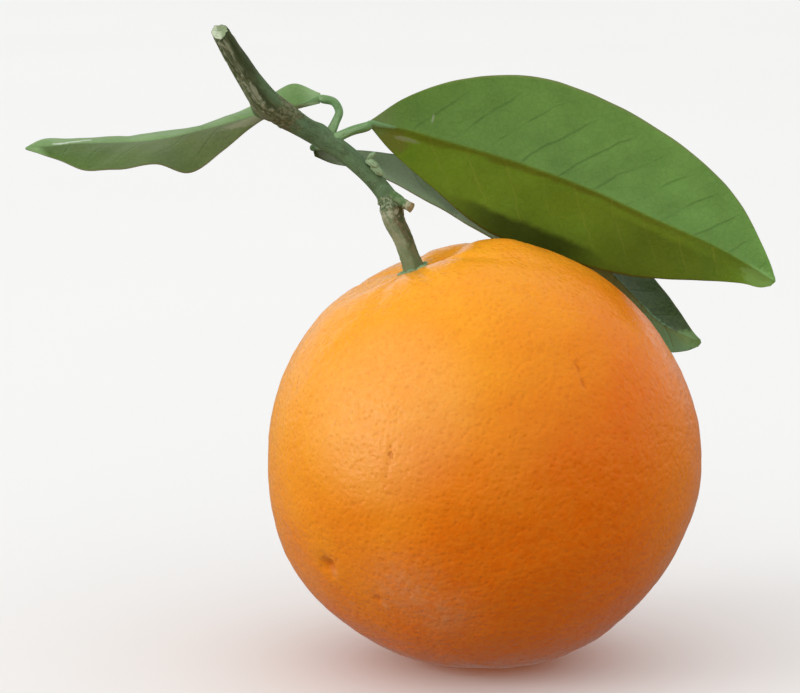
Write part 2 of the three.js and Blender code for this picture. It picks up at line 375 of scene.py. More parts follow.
def scratch_distance(places, start, end):
    """Distance of each place from the line between two points on the rind."""
    start, end = FRUIT_RADIUS * unit(start), FRUIT_RADIUS * unit(end)
    along = np.clip((places - start) @ (end - start) / np.dot(end - start, end - start), 0, 1)
    return np.linalg.norm(places - start - along[:, None] * (end - start), axis=1)


def rind_marks(places):
    """Depth of the pits and cracks, the pits' darker tint (partly their own stain, partly painted shade),
    the pale patches (scuffs and one painted highlight) at each place, and its distance from a crack.
    """
    depth, pitted, rubbed = (np.zeros(len(places)) for _ in range(3))
    ragged = 1 + 0.35 * ripple(places, 1.2)
    for towards, pit_depth, pit_radius in PITS:
        away = np.linalg.norm(places - FRUIT_RADIUS * unit(towards), axis=1)
        dent = bell(away * ragged, pit_radius)
        depth += pit_depth * dent
        pitted = np.maximum(pitted, dent * min(1, pit_depth))
    to_scar = np.min([scratch_distance(places, *ends) for ends in SCARS], axis=0)
    depth += SCAR_DEPTH * bell(to_scar * ragged, SCAR_HALF_WIDTH)
    for towards, patch_radius, strength in SCUFFS_AND_HIGHLIGHT:
        away = np.linalg.norm(places - FRUIT_RADIUS * unit(towards), axis=1)
        rubbed = np.maximum(rubbed, strength * bell(away, patch_radius))
    return depth, pitted, rubbed, to_scar


def make_fruit(material):
    ball = bmesh.new()
    bmesh.ops.create_cube(ball, size=2)
    bmesh.ops.subdivide_edges(ball, edges=ball.edges[:], cuts=FRUIT_CELLS - 1, use_grid_fill=True)
    cube = np.array([vertex.co for vertex in ball.verts])
    faces = [[vertex.index for vertex in face.verts] for face in ball.faces]
    ball.free()
    directions = unit(np.tan(cube * math.pi / 4))  # even cells all over the ball
    places = FRUIT_RADIUS * directions
    depth, pitted, rubbed, to_scar = rind_marks(places)
    radius = rind_radius(directions) - furrow_depth(directions) - depth
    for height, size in RIND_BUMPS:
        radius += height * ripple(places, size)
    vertices = directions * radius[:, None]
    vertices[:, 2] = np.maximum(vertices[:, 2], -CENTRE_HEIGHT)
    make_piece("fruit", "orange_rind", material, vertices, faces,
               pitted=pitted, rubbed=rubbed, to_scar=to_scar, outward=directions)


def make_calyx(material):
    """A thin five-pointed star that follows the rind round the foot of the stalk."""
    turn = np.linspace(0, 2 * math.pi, CALYX_SPOKES, endpoint=False)
    lobe = ((1 + np.cos(CALYX_LOBES * turn)) / 2) ** 1.6
    rim = CALYX_WAIST + (CALYX_RADIUS - CALYX_WAIST) * lobe
    rim = rim * (1 + 0.06 * np.sin(3 * turn + 1) + 0.04 * np.sin(7 * turn))
    out = np.cos(turn)[:, None] * STEM_SIDE + np.sin(turn)[:, None] * STEM_FRONT

    def ring(share, lift):
        aside = (rim * share)[:, None] * out
        directions = unit(STEM_AXIS * FRUIT_RADIUS + aside)
        height = rind_radius(directions) - furrow_depth(directions)
        ridge = 0.12 * np.cos(CALYX_LOBES * turn) * share
        return directions * (height + lift + ridge)[:, None]

    shares = np.linspace(0.05, 1, CALYX_RINGS)
    top = [ring(share, CALYX_LIFT * (1.6 - 0.9 * share ** 2)) for share in shares]
    bottom = [ring(share, -CALYX_THICKNESS) for share in shares[::-1]]
    vertices = np.concatenate(top + bottom)
    rows = ring_rows(2 * CALYX_RINGS, CALYX_SPOKES)
    faces = [face[::-1] for face in ring_faces(rows)]
    faces += [tuple(rows[0]), tuple(rows[-1][::-1])]
    share_of = np.repeat(np.concatenate((shares, shares[::-1])), CALYX_SPOKES)
    make_piece("calyx", "calyx_green", material, vertices, faces, rimward=share_of)


# ---- stems


def stem_line(route):
    """Evenly spaced centre points and radii of a stem, with two directions across it at each."""
    fine = smooth_path(route, np.linspace(0, 1, 60 * len(route)))
    travelled = travelled_along(fine)
    along = np.linspace(0, travelled[-1], int(travelled[-1] / STEM_STEP) + 2)
    line = np.stack([np.interp(along, travelled, column) for column in fine.T], axis=1)
    heading = unit(np.gradient(line[:, :3], axis=0))
    across = [unit(np.cross(heading[0], (0, 1, 0)))]
    for ahead in heading[1:]:
        across.append(unit(across[-1] - ahead * np.dot(across[-1], ahead)))
    across = np.array(across)
    return along, line, heading, across, np.cross(heading, across)


def make_stem(node, slot, material, routes, relief, cut=None):
    """A piece of one or more stems, each along a route."""
    stems = [stem_surface(route, relief, cut) for route in routes]
    faces, first = [], 0
    for places, own_faces, *_ in stems:
        faces += [tuple(first + corner for corner in face) for face in own_faces]
        first += len(places)
    vertices, grain, on_cut = (np.concatenate([stem[k] for stem in stems]) for k in (0, 2, 3))
    make_piece(node, slot, material, vertices, faces, STEM_SHARP_ANGLE, grain=grain, on_cut=on_cut)


def stem_surface(route, relief, cut):
    """A closed tube along a route. relief gives its bark's height at places on the straight stem."""
    along, line, heading, across, upright = stem_line(route)
    turn = np.linspace(0, 2 * math.pi, STEM_SIDES, endpoint=False)
    out = np.cos(turn)[:, None] * across[:, None] + np.sin(turn)[:, None] * upright[:, None]
    radius = line[:, 3][:, None] + np.zeros(STEM_SIDES)
    straight = np.stack((radius * np.cos(turn), radius * np.sin(turn), along[:, None] + 0 * radius), axis=-1)
    radius = radius + relief(straight, radius)
    rings = line[:, None, :3] + out * radius[:, :, None]
    if cut:
        point, normal = cut
        first = rings[0]
        slide = ((point - first) @ normal) / np.dot(heading[0], normal)
        fade = np.clip(1 - along / CUT_BLEND, 0, 1)
        rings = rings + fade[:, None, None] * slide[:, None] * heading[:, None]
    (top, top_grain), (foot, foot_grain) = (end_cap(rings[k], straight[k]) for k in (0, -1))
    vertices = np.concatenate((rings.reshape(-1, 3), top, foot))
    grain = np.concatenate((straight.reshape(-1, 3), top_grain, foot_grain))
    rows = ring_rows(len(rings), STEM_SIDES)
    top_first = rows[-1][-1] + 1
    foot_first = top_first + len(top)
    faces = [face[::-1] for face in ring_faces(rows) + cap_faces(rows[-1], foot_first)]
    faces += cap_faces(rows[0], top_first)
    on_cut = np.zeros(len(vertices))
    on_cut[top_first:foot_first] = 1
    return vertices, faces, grain, on_cut


def end_cap(ring, straight):
    """Slightly rough rings that close the end of a stem, and its centre, as built and straightened."""
    centre = ring.mean(axis=0)
    straight_centre = straight.mean(axis=0)
    normal = unit(np.cross(ring[STEM_SIDES // 4] - centre, ring[0] - centre))
    places, grains = [], []
    for step in range(1, CAP_RINGS + 1):
        share = 1 - step / (CAP_RINGS + 1)
        row = centre + (ring - centre) * share
        rough = CAP_ROUGHNESS * ripple(row, 0.8) * min(1, 3 * (1 - share))
        places.append(row + normal * rough[:, None])
        grains.append(straight_centre + (straight - straight_centre) * share)
    places.append(centre[None])
    grains.append(straight_centre[None])
    return np.concatenate(places), np.concatenate(grains)


def cap_faces(rim, first):
    """Faces between a stem's last ring, the cap's rings and its centre."""
    rows = [rim] + ring_rows(CAP_RINGS, STEM_SIDES, first)
    centre = first + CAP_RINGS * STEM_SIDES
    inmost = rows[-1]
    return ring_faces(rows) + [(inmost[side - 1], inmost[side], centre) for side in range(STEM_SIDES)]


def twig_relief(straight, radius):
    """Ridged, cracked old bark, a rough swollen node, then smooth young bark down to a ragged collar."""
    along = straight[..., 2]
    turn = np.arctan2(straight[..., 1], straight[..., 0])
    old = 1 / (1 + np.exp((along - NODE_PLACE + 2) * 1.5))
    ridges = ripple(straight, (0.7, 0.7, 8))
    cracks = np.clip(ripple(straight + 30, (0.45, 0.45, 4)) - 0.1, 0, 1)
    relief = old * (0.16 * ridges - 0.4 * cracks + 0.12 * np.cos(3 * turn + 0.5))
    relief += (1 - old) * 0.07 * ripple(straight + 60, (1.1, 1.1, 12))
    rough = bell(along - NODE_PLACE, 2.2) + bell(along - COLLAR_PLACE, 1.2)
    relief += rough * (0.2 * ripple(straight + 5, 0.9, 3) + 0.08)
    for place, degrees, height, size in TWIG_BUMPS:
        away = (turn - math.radians(degrees) + math.pi) % (2 * math.pi) - math.pi
        relief += height * bell(np.hypot(along - place, away * radius), size)
    ragged_edge = COLLAR_PLACE + 0.9 + 0.7 * ripple(straight + 8, (0.8, 0.8, 30))
    return relief - 0.8 * np.clip((along - ragged_edge) * 1.6, 0, 1)


def stalk_relief(straight, radius):
    return 0.11 * ripple(straight + 90, (0.8, 0.8, 6)) + 0.07 * ripple(straight, 0.6, 3)


def spur_relief(straight, radius):
    return 0.14 * ripple(straight + 40, (0.7, 0.7, 2.5)) + 0.1 * ripple(straight, 0.45, 3)


def smooth_relief(straight, radius):
    return 0.03 * ripple(straight + 12, (0.8, 0.8, 5))


def bud_relief(straight, radius):
    return 0.25 * radius * ripple(straight, 0.7) + 0.06 * ripple(straight + 20, 0.4)


# ---- leaves


def vein_phase(along, away):
    """Counts the side veins: it grows by 1 from one vein to the next."""
    return (along - VEIN_START - VEIN_SWEEP * away - VEIN_CURL * away ** 2) / VEIN_SPACING


def blade_sheet(ribs):
    """The middle surface of a blade as rows of points, and where its rows and columns lie on it."""
    along = np.linspace(0, 1, BLADE_ROWS)
    across = np.linspace(-1, 1, BLADE_COLUMNS + 1)
    far, midrib, near = (smooth_path([rib[k] for rib in ribs], along) for k in range(3))
    margin = np.where(across[:, None] > 0, far[:, None], near[:, None])
    rounded = np.hypot(across, CREASE_ROUNDING) - CREASE_ROUNDING
    share = (rounded / rounded[-1])[:, None]
    sheet = midrib[:, None] * (1 - share) + margin * share
    normal = unit(np.cross(np.gradient(sheet, axis=0), np.gradient(sheet, axis=1)))
    away = np.linalg.norm(sheet - midrib[:, None], axis=2)
    return along, across, sheet, normal, travelled_along(midrib), away


def blade_relief(along, across, sheet, travelled, away):
    """Heights along the blade's normal: of its middle surface, its midrib and its side veins."""
    run = travelled[:, None] + np.zeros_like(away)
    phase = vein_phase(run, away) + np.where(across < 0, 0.5, 0)
    to_vein = np.abs(phase % 1 - 0.5) * VEIN_SPACING
    inside = np.clip(1 - np.abs(across) ** 4, 0, 1)
    camber = BLADE_CAMBER * np.sin(math.pi * along)[:, None] * np.sin(math.pi * np.abs(across))
    quilt = QUILTING * np.cos(2 * math.pi * (phase - 0.5)) * inside * np.clip(away / 4, 0, 1)
    waves = 0.3 * ripple(sheet, 9) * np.clip(away / 3, 0, 1)
    taper = 1 - 0.75 * run / travelled[-1]
    midrib = MIDRIB_HEIGHT * taper * bell(away, MIDRIB_WIDTH * (0.5 + taper))
    veins = VEIN_RELIEF * inside * bell(to_vein, VEIN_WIDTH)
    return run, waves - camber - quilt, midrib, veins


def make_blade(node, material, ribs, underside_up):
    """A thin blade on the surface that its three lengthwise curves span.

    The veins stand proud of its underside, and are sunk in its other side.
    """
    along, across, sheet, normal, travelled, away = blade_sheet(ribs)
    run, middle, midrib, veins = blade_relief(along, across, sheet, travelled, away)
    proud = midrib + veins
    sunk = -MIDRIB_SUNK * midrib - VEIN_SUNK * veins
    outer_faces_up = normal[..., 2].mean() > 0
    outer_relief, inner_relief = (proud, sunk) if outer_faces_up == underside_up else (sunk, proud)
    half = BLADE_THICKNESS / 2 * (1 - 0.6 * np.abs(across) ** 6)
    outer = sheet + normal * (middle + half + outer_relief)[:, :, None]
    inner = sheet + normal * (middle - half - inner_relief)[:, :, None]

    grid = np.arange(run.size).reshape(run.shape)
    quads = np.stack((grid[:-1, :-1], grid[1:, :-1], grid[1:, 1:], grid[:-1, 1:]), axis=-1).reshape(-1, 4)
    border = np.concatenate((grid[0], grid[1:, -1], grid[-1, -2::-1], grid[-2:0:-1, 0]))
    beyond = np.roll(border, -1)
    rim = np.stack((border, beyond, run.size + beyond, run.size + border), axis=-1)
    faces = np.concatenate((quads, run.size + quads[:, ::-1], rim)).tolist()

    signed_away = np.where(across < 0, -1, 1) * away
    share = np.abs(across) + 0 * run
    place = np.stack((run, signed_away, share), axis=-1).reshape(-1, 3)
    tipward = (along[:, None] + 0 * run).ravel()
    upper_side = (1.0, 0.0) if outer_faces_up else (0.0, 1.0)
    vertices = np.concatenate((outer.reshape(-1, 3), inner.reshape(-1, 3)))
    make_piece(node, "leaf_blade", material, vertices, faces,
               leaf_place=np.concatenate((place, place)), tipward=np.tile(tipward, 2),
               upper_side=np.repeat(upper_side, run.size))


# ---- materials


def srgb(red, green, blue):
    """A colour given from 0 to 255, as the linear colour that a shader takes."""
    shares = [channel / 255 for channel in (red, green, blue)]
    linear = [s / 12.92 if s <= 0.04045 else ((s + 0.055) / 1.055) ** 2.4 for s in shares]
    return (*linear, 1.0)


class Paint:
    """The nodes of one material. Most methods give back the socket that holds their result."""

    def __init__(self, name, **finish):
        self.material = bpy.data.materials.new(name)
        self.material.use_nodes = True
        self.tree = self.material.node_tree
        self.shader = self.tree.nodes["Principled BSDF"]
        self.finish(**finish)

    def finish(self, **values):
        """Sets or links the shader's own sockets, named with _ for a space. Gives back the material."""
        for name, value in values.items():
            self.feed(self.shader.inputs[name.replace("_", " ")], value)
        return self.material

    def feed(self, socket, value):
        if isinstance(value, bpy.types.NodeSocket):
            self.tree.links.new(value, socket)
        else:
            socket.default_value = value

    def node(self, kind, inputs, **settings):
        made = self.tree.nodes.new("ShaderNode" + kind)
        for name, value in settings.items():
            setattr(made, name, value)
        for name, value in inputs.items():
            self.feed(made.inputs[name], value)
        return made

    def attribute(self, name, output="Fac"):
        return self.node("Attribute", {}, attribute_name=name).outputs[output]

    def parts(self, vector):
        return self.node("SeparateXYZ", {0: vector}).outputs

    def millimetres(self):
        """The object's own coordinates, in millimetres."""
        place = self.node("TexCoord", {}).outputs["Object"]
        return self.stretched(place, (1 / MM, 1 / MM, 1 / MM))

    def stretched(self, vector, scales):
        return self.node("VectorMath", {0: vector, 1: scales}, operation="MULTIPLY").outputs[0]

    def math(self, operation, first, second=0.0):
        return self.node("Math", {0: first, 1: second}, operation=operation).outputs[0]

    def times(self, first, *others):
        for other in others:
            first = self.math("MULTIPLY", first, other)
        return first

    def plus(self, first, second):
        return self.math("ADD", first, second)

    def minus(self, first, second):
        return self.math("SUBTRACT", first, second)

    def mix(self, share, first, second, blend="MIX"):
        inputs = {0: share, 6: first, 7: second}
        return self.node("Mix", inputs, data_type="RGBA", blend_type=blend).outputs[2]

    def step(self, value, low, high, start=0.0, end=1.0):
        """Goes smoothly from start to end as the value goes from low to high."""
        inputs = {"Value": value, "From Min": low, "From Max": high, "To Min": start, "To Max": end}
        return self.node("MapRange", inputs, interpolation_type="SMOOTHSTEP").outputs[0]

    def fade(self, value, low, high, first, second):
        """A step between two colours."""
        return self.mix(self.step(value, low, high), first, second)

    def over(self, colour, mask, strength, tint):
        """The colour, with a tint laid over it at the given strength where the mask is 1."""
        return self.mix(self.times(mask, strength), colour, tint)

    def facing(self, outward, way):
        """1 where outward points the given way, less elsewhere."""
        return self.node("VectorMath", {0: outward, 1: way}, operation="DOT_PRODUCT").outputs["Value"]

    def around_zero(self, cloud, height):
        """A cloud moved from around 0.5 to around 0, and scaled."""
        return self.times(self.minus(cloud, 0.5), height)

    def cloud(self, where, size, detail=2.0):
        """Soft noise around 0.5, whose blotches are about the given size."""
        inputs = {"Vector": where, "Scale": 1 / size, "Detail": detail}
        return self.node("TexNoise", inputs).outputs[0]

    def streaks(self, grain, squeeze, size, detail=3):
        """A cloud that is drawn out along a stem."""
        return self.cloud(self.stretched(grain, (1, 1, squeeze)), size, detail)

    def cells(self, where, size, feature):
        """Distance from the middle, or with DISTANCE_TO_EDGE the edge, of cells of the given size."""
        inputs = {"Vector": where, "Scale": 1 / size}
        return self.node("TexVoronoi", inputs, feature=feature).outputs["Distance"]

    def patch(self, where, centre, half_sizes, ragged=0.3):
        """1 in an oval around the centre and 0 outside it. A half size of 0 leaves its axis out."""
        aside = self.node("VectorMath", {0: where, 1: centre}, operation="SUBTRACT").outputs[0]
        scaled = self.stretched(aside, tuple(1 / size if size else 0 for size in half_sizes))
        distance = self.node("VectorMath", {0: scaled}, operation="LENGTH").outputs["Value"]
        uneven = self.step(self.cloud(where, 0.8, 3), 0.3, 0.7, -ragged, ragged)
        return self.step(self.plus(distance, uneven), 0.6, 1.1, 1.0, 0.0)

    def bump(self, height, depth, under=None):
        """A normal raised by the height, of which 1 stands for that many millimetres."""
        inputs = {"Height": height, "Distance": depth * MM}
        if under:
            inputs["Normal"] = under
        return self.node("Bump", inputs).outputs[0]


def rind_colour(paint, place, pores):
    """Yellower and lighter towards the upper left, partly the rind's own colour and partly painted light;
    painted rim light at the right edge, a painted highlight on one side, mottled, and darker in the pores.
    """
    outward = paint.attribute("outward", "Vector")
    drift = paint.around_zero(paint.cloud(place, 14, 3), 0.7)
    # Painted light in part: yellower and lighter towards the lit upper left.
    lit_side = paint.plus(paint.facing(outward, LIT_SIDE_WAY), drift)
    colour = paint.fade(lit_side, -0.4, 1.08, srgb(238, 110, 0), srgb(252, 172, 40))
    # Painted rim light: a lighter, yellower orange at the right edge.
    painted_rim_light = paint.step(paint.parts(outward)[0], 0.6, 0.95, 0.0, 0.45)
    colour = paint.mix(painted_rim_light, colour, srgb(244, 150, 20))
    # Painted highlight: a paler, peach patch where the window's sheen falls.
    painted_highlight = paint.step(paint.facing(outward, PAINTED_HIGHLIGHT_WAY), 0.86, 0.99, 0.0, 0.34)
    colour = paint.mix(painted_highlight, colour, srgb(255, 184, 112))
    mottle = paint.step(paint.cloud(place, 1.5, 4), 0.38, 0.62, 0.0, 0.2)
    colour = paint.mix(mottle, colour, srgb(246, 146, 34))
    grain = paint.step(paint.cloud(place, 0.5), 0.35, 0.65, 0.0, 0.12)
    colour = paint.mix(grain, colour, srgb(222, 96, 0))
    return paint.mix(paint.step(pores, 0.05, 0.35, 0.14, 0.0), colour, srgb(206, 84, 0))


def rind_material():
    """Orange peel with shallow pores, a fine pebbled surface, pits whose darker tint is partly painted
    shade, cracks, scuffed patches and a painted highlight by the stalk.
    """
    paint = Paint("orange_rind", IOR=1.4, Specular_IOR_Level=0.18)
    place = paint.millimetres()
    pores = paint.cells(place, PORE_SPACING, "SMOOTH_F1")
    colour = rind_colour(paint, place, pores)

    patchy = paint.step(paint.cloud(place, 1.3, 4), 0.38, 0.62, 0.3, 0.7)
    # Pale scuffed patches and spots, and a painted highlight in the furrow beside the stalk.
    colour = paint.over(colour, paint.attribute("rubbed"), patchy, srgb(228, 150, 96))
    # A darker tint in the pits: partly their own stain, partly painted shade.
    colour = paint.over(colour, paint.attribute("pitted"), 0.6, srgb(186, 78, 14))
    wavering = paint.step(paint.cloud(place, 0.8, 3), 0.3, 0.7, -0.3, 0.3)
    crack = paint.step(paint.plus(paint.attribute("to_scar"), wavering), 0.1, 0.4, 1.0, 0.0)
    crack = paint.times(crack, paint.step(paint.cloud(place, 1.1), 0.42, 0.56))
    colour = paint.over(colour, crack, 0.38, srgb(180, 84, 14))

    roughness = paint.step(paint.cloud(place, 3.0), 0.3, 0.7, 0.2, 0.32)
    normal = paint.bump(paint.cloud(place, 0.9, 3), 0.16)
    normal = paint.bump(paint.step(pores, 0.0, 0.5), PORE_DEPTH, normal)
    normal = paint.bump(crack, -0.08, normal)
    return paint.finish(Base_Color=colour, Roughness=roughness, Normal=normal)


def side_veins(paint, place, run, signed_away, across):
    """1 along the side veins, which are broken here and there and fade towards the margin."""
    away = paint.math("ABSOLUTE", signed_away)
    sweep = paint.plus(paint.times(away, VEIN_SWEEP), paint.times(away, away, VEIN_CURL))
    started = paint.minus(run, VEIN_START)
    phase = paint.math("DIVIDE", paint.minus(started, sweep), VEIN_SPACING)
    near_shift = paint.times(paint.math("LESS_THAN", signed_away, 0.0), 0.5)
    wander = paint.step(paint.cloud(place, 8), 0.3, 0.7, -0.06, 0.06)
    phase = paint.plus(paint.plus(phase, near_shift), wander)
    to_vein = paint.math("ABSOLUTE", paint.minus(paint.math("FRACT", phase), 0.5))
    vein = paint.step(to_vein, 0.01, 0.06, 1.0, 0.0)
    inside = paint.step(across, 0.6, 0.9, 1.0, 0.0)
    broken = paint.step(paint.cloud(place, 9), 0.35, 0.55, 0.25, 1.0)
    return paint.times(vein, inside, broken)


def shaded_strip(paint, run, near_away, waver):
    """The strip of the near half in the fruit's shade, dark by the fruit and fainter towards the tip."""
    edge = paint.minus(paint.plus(near_away, waver), paint.times(run, 0.09))
    by_fruit = paint.times(paint.step(edge, 7.7, 9.4), paint.step(run, 12, 30),
                           paint.step(run, 40, 50, 0.78, 0.25))
    tip_strip = paint.times(paint.step(near_away, 2.2, 3.8), paint.step(run, 43, 53, 0.0, 0.22),
                            paint.step(run, 66, 74, 1.0, 0.0))
    return paint.math("MAXIMUM", by_fruit, tip_strip)


def leaf_grain(paint, place, colour):
    """The colour with soft blotches, fine speckles and a net of small veins, and that net."""
    blotch = paint.step(paint.cloud(place, 7, 4), 0.3, 0.7, 0.0, 0.22)
    colour = paint.mix(blotch, colour, srgb(84, 116, 38), "MULTIPLY")
    speckle = paint.step(paint.cloud(place, 0.6, 3), 0.35, 0.65, 0.0, 0.1)
    colour = paint.mix(speckle, colour, srgb(168, 188, 104))
    net = paint.step(paint.cells(place, 1.5, "DISTANCE_TO_EDGE"), 0.0, 0.14, 1.0, 0.0)
    return paint.over(colour, net, 0.1, srgb(58, 86, 30)), net


def let_light_through(paint, colour, normal):
    """Makes part of the light that falls on a blade come out of its other side."""
    through = paint.node("BsdfTranslucent", {"Color": colour, "Normal": normal})
    inputs = {0: GLOW_SHARE, 1: paint.shader.outputs[0], 2: through.outputs[0]}
    surface = paint.tree.nodes["Material Output"].inputs["Surface"]
    paint.feed(surface, paint.node("MixShader", inputs).outputs[0])


def leaf_material(name, far_half, near_half, inner_side, base, glow, roughness,
                  vein_tints, vein_strength, shade=0.0, crease_shade=0.0, marks=()):
    """A leaf blade, with light showing through it.

    Each half of the upper side has its colour at the base of the blade and at its tip, and the
    inner side has one of its own. The half colours are the leaf's green with painted light and
    shade, sheen and glow, each half as it faces the light. base is the colour at the joint with
    the stalk, painted light on the left leaf and painted shade on the back leaf. vein_tints are
    the colours of the side veins of the far half and of the near half. The two shade strengths are
    how dark the painted shade is in the strip by the fruit and in the strip along the midrib.
    marks are oval patches: the distance along the midrib and away from it, the half sizes along
    and across, and the colour; some are painted highlights, light and shade.
    """
    paint = Paint(name, IOR=1.45, Roughness=roughness, Specular_IOR_Level=0.4)
    on_leaf = paint.attribute("leaf_place", "Vector")
    run, signed_away, across = paint.parts(on_leaf)
    tipward = paint.attribute("tipward")
    place = paint.millimetres()
    waver = paint.step(paint.cloud(place, 5, 3), 0.3, 0.7, -0.4, 0.4)
    near_away = paint.times(signed_away, -1.0)
    is_far = paint.math("MAXIMUM", paint.step(signed_away, -0.4, 0.4), paint.step(tipward, 0.9, 0.95))

    colour = paint.mix(is_far, paint.mix(tipward, *near_half), paint.mix(tipward, *far_half))
    colour = paint.mix(paint.attribute("upper_side"), inner_side, colour)
    colour, net = leaf_grain(paint, place, colour)
    vein = side_veins(paint, place, run, signed_away, across)
    vein_tint = paint.mix(is_far, vein_tints[1], vein_tints[0])
    colour = paint.over(colour, vein, vein_strength, vein_tint)

    # Painted shade under the midrib's fold: a darker, brownish strip on the near half beside the midrib,
    # towards the base.
    shade_under_crease = paint.step(paint.plus(near_away, waver), 0.8, 1.8, crease_shade, 0.0)
    baseward = paint.step(tipward, 0.45, 0.7, 1.0, 0.0)
    shade_under_crease = paint.times(shade_under_crease, paint.minus(1.0, is_far), baseward)
    colour = paint.mix(shade_under_crease, colour, srgb(92, 70, 18))
    colour = paint.mix(paint.step(across, 0.965, 1.0, 0.0, 0.5), colour, srgb(150, 130, 96))
    colour = paint.mix(paint.step(tipward, 0.02, 0.12, 0.8, 0.0), colour, base)
    for mark_run, mark_away, half_length, half_width, tint in marks:
        mark = paint.patch(on_leaf, (mark_run, mark_away, 0), (half_length, half_width, 0), 0.15)
        colour = paint.over(colour, mark, 0.7, tint)
    shaded = paint.times(shaded_strip(paint, run, near_away, waver), shade)
    colour = paint.mix(shaded, colour, srgb(30, 46, 4))
    normal = paint.bump(paint.cloud(place, 0.5, 3), 0.04)
    normal = paint.bump(net, -0.02, normal)
    normal = paint.bump(vein, -0.06, normal)
    paint.finish(Base_Color=colour, Normal=normal)

    let_light_through(paint, paint.mix(shaded, glow, srgb(20, 30, 0)), normal)
    return paint.material


def bark_paint(name, roughness):
    """The nodes of a stem's material, and each place on the straightened stem."""
    paint = Paint(name, Roughness=roughness, Specular_IOR_Level=0.3)
    return paint, paint.attribute("grain", "Vector")


def bark_material(name, base, streak, dark, roughness):
    """Lengthwise streaks of three colours on the straightened stem."""
    paint, grain = bark_paint(name, roughness)
    long_streaks = paint.streaks(grain, 0.14, 0.8)
    fine_streaks = paint.streaks(grain, 0.25, 0.4)
    colour = paint.fade(long_streaks, 0.42, 0.62, base, streak)
    colour = paint.mix(paint.step(fine_streaks, 0.54, 0.68, 0.0, 0.6), colour, dark)
    normal = paint.bump(fine_streaks, 0.1)
    return paint.finish(Base_Color=colour, Normal=normal)


def old_bark(paint, grain, upper, along, wander):
    """Dark bark with long pale fissures, smoother on its upper side, and where the fissures are."""
    streaks = paint.streaks(grain, 0.12, 0.7)
    colour = paint.fade(streaks, 0.4, 0.6, srgb(72, 82, 46), srgb(112, 120, 86))
    fissures = paint.cells(paint.stretched(grain, (1, 1, 0.13)), 0.75, "DISTANCE_TO_EDGE")
    fissured = paint.times(paint.step(fissures, 0.02, 0.13, 1.0, 0.0),
                           paint.step(paint.cloud(grain, 1.4, 3), 0.42, 0.55))
    colour = paint.over(colour, fissured, 0.85, srgb(164, 166, 134))
    smooth_side = paint.fade(streaks, 0.4, 0.7, srgb(58, 70, 34), srgb(84, 92, 54))
    colour = paint.fade(paint.plus(upper, paint.times(wander, 0.15)), 0.0, 0.8, colour, smooth_side)
    for scar_place, half_width, half_length in ((15.0, 0.42, 2.8), (4.6, 0.3, 3.0)):
        bare_scar = paint.patch(grain, (0.1, 2.0, scar_place), (half_width, 1.7, half_length))
        colour = paint.over(colour, bare_scar, 0.7, srgb(160, 164, 134))
    green_rim = paint.times(paint.step(upper, 0.9, 1.9), paint.step(along, 11, 15))
    colour = paint.over(colour, green_rim, 0.8, srgb(86, 112, 72))
    green_knob = paint.patch(grain, (-2.2, -0.6, 19.4), (1.6, 1.6, 2.6))
    return paint.over(colour, green_knob, 0.85, srgb(92, 120, 76)), streaks, fissured


def young_bark(paint, grain):
    """Smooth green bark with duller patches and pale flecks."""
    streaks = paint.streaks(grain, 0.1, 0.9)
    colour = paint.fade(streaks, 0.35, 0.65, srgb(86, 110, 74), srgb(94, 120, 80))
    patches = paint.step(paint.cloud(grain, 2.6, 4), 0.45, 0.65, 0.0, 0.6)
    colour = paint.mix(patches, colour, srgb(74, 92, 56))
    flecks = paint.step(paint.cloud(grain, 0.45, 3), 0.62, 0.7, 0.0, 0.5)
    return paint.mix(flecks, colour, srgb(132, 144, 108))


def twig_material():
    """Old bark from the cut end to a rough brown node, then green bark down to a pale collar."""
    paint, grain = bark_paint("twig_bark", 0.7)
    upper, _, along = paint.parts(grain)
    wander = paint.around_zero(paint.cloud(grain, 1.6, 3), 6.0)
    ragged = paint.plus(along, wander)
    old, streaks, fissured = old_bark(paint, grain, upper, along, wander)
    colour = paint.fade(ragged, NODE_PLACE - 1, NODE_PLACE + 1, old, young_bark(paint, grain))

    from_node = paint.math("ABSOLUTE", paint.minus(ragged, NODE_PLACE))
    from_collar = paint.math("ABSOLUTE", paint.minus(ragged, COLLAR_PLACE))
    crackle = paint.fade(paint.cloud(grain, 0.6, 4), 0.4, 0.6, srgb(76, 82, 48), srgb(116, 116, 82))
    colour = paint.mix(paint.step(from_node, 1.6, 3.2, 0.9, 0.0), colour, crackle)
    pale = paint.fade(paint.cloud(grain, 0.5, 3), 0.45, 0.58, srgb(86, 98, 62), srgb(150, 158, 124))
    colour = paint.mix(paint.step(from_collar, 0.6, 1.8, 0.85, 0.0), colour, pale)
    lower_wood = paint.plus(upper, paint.times(wander, 0.3))
    wood = paint.fade(lower_wood, -0.7, 0.5, srgb(196, 206, 176), srgb(142, 158, 118))
    colour = paint.fade(paint.attribute("on_cut"), 0.1, 0.6, colour, wood)
    normal = paint.bump(streaks, 0.12)
    normal = paint.bump(fissured, -0.1, normal)
    return paint.finish(Base_Color=colour, Normal=normal)


def spur_material():
    """Green bark like the twig's, with painted shade on its underside, and a weathered brown tip where the
    spur broke off.
    """
    paint, grain = bark_paint("spur_bark", 0.7)
    upper, _, along = paint.parts(grain)
    mottle = paint.cloud(grain, 0.6, 4)
    colour = paint.fade(mottle, 0.4, 0.6, srgb(84, 112, 64), srgb(112, 134, 90))
    # Painted shade: darker on the spur's underside.
    colour = paint.mix(paint.step(upper, -0.5, 0.2, 0.75, 0.0), colour, srgb(54, 60, 34))
    broken = paint.fade(mottle, 0.42, 0.58, srgb(128, 118, 86), srgb(166, 166, 132))
    ragged = paint.plus(along, paint.around_zero(mottle, 2.5))
    colour = paint.fade(ragged, 3.9, 4.6, colour, broken)
    return paint.finish(Base_Color=colour, Normal=paint.bump(mottle, 0.15))


